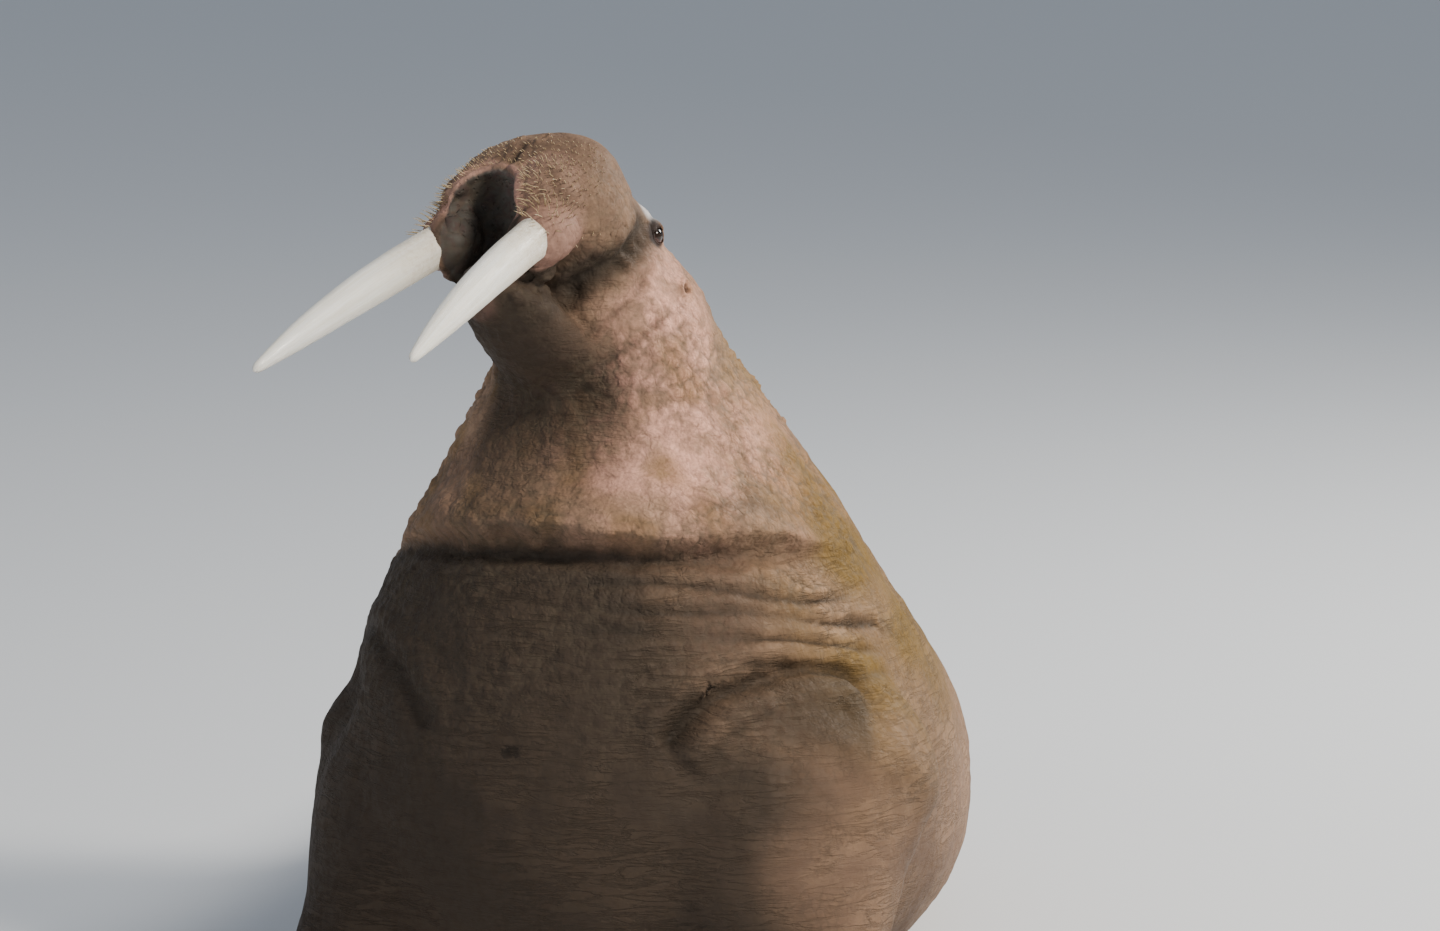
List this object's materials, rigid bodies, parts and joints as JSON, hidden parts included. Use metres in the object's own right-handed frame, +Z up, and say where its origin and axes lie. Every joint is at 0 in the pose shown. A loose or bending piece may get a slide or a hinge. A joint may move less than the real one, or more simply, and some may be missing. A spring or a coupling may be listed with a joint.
{
  "type": "life-size walrus model",
  "caption": "Still, life-size model of a bull walrus hauled out on its belly, chest raised, head thrown back with the mouth open between long tusks.",
  "frame": {"origin": "on the floor below the middle of the whole animal", "axes": "+Z up, chest and face towards -Y, +X to the animal's left"},
  "size_m": [1.988, 2.8478, 1.627],
  "materials": {
    "hide": "matte wrinkled hide",
    "pad_hide": "matte hide with stiff bristles",
    "mouth_flesh": "moist",
    "ivory": "satin",
    "eye": "glossy",
    "claw_horn": "satin"
  },
  "bodies": {
    "root": {"torso": "hide", "chest": "hide", "neck": "hide", "rump": "hide", "tail": "hide", "head": "hide", "lower_jaw": "hide", "tongue": "mouth_flesh", "whisker_pad_left": "pad_hide", "whisker_pad_right": "pad_hide", "tusk_left": "ivory", "tusk_right": "ivory", "eye_left": "eye", "eye_right": "eye", "ear_left": "hide", "ear_right": "hide", "upper_arm_left": "hide", "upper_arm_right": "hide", "fore_flipper_left": "hide", "fore_flipper_right": "hide", "fore_claw_left_1": "claw_horn", "fore_claw_left_2": "claw_horn", "fore_claw_left_3": "claw_horn", "fore_claw_left_4": "claw_horn", "fore_claw_left_5": "claw_horn", "fore_claw_right_1": "claw_horn", "fore_claw_right_2": "claw_horn", "fore_claw_right_3": "claw_horn", "fore_claw_right_4": "claw_horn", "fore_claw_right_5": "claw_horn", "hind_leg_left": "hide", "hind_leg_right": "hide", "hind_flipper_left": "hide", "hind_flipper_right": "hide", "hind_claw_left_1": "claw_horn", "hind_claw_left_2": "claw_horn", "hind_claw_left_3": "claw_horn", "hind_claw_left_4": "claw_horn", "hind_claw_left_5": "claw_horn", "hind_claw_right_1": "claw_horn", "hind_claw_right_2": "claw_horn", "hind_claw_right_3": "claw_horn", "hind_claw_right_4": "claw_horn", "hind_claw_right_5": "claw_horn"}
  },
  "joints": []
}
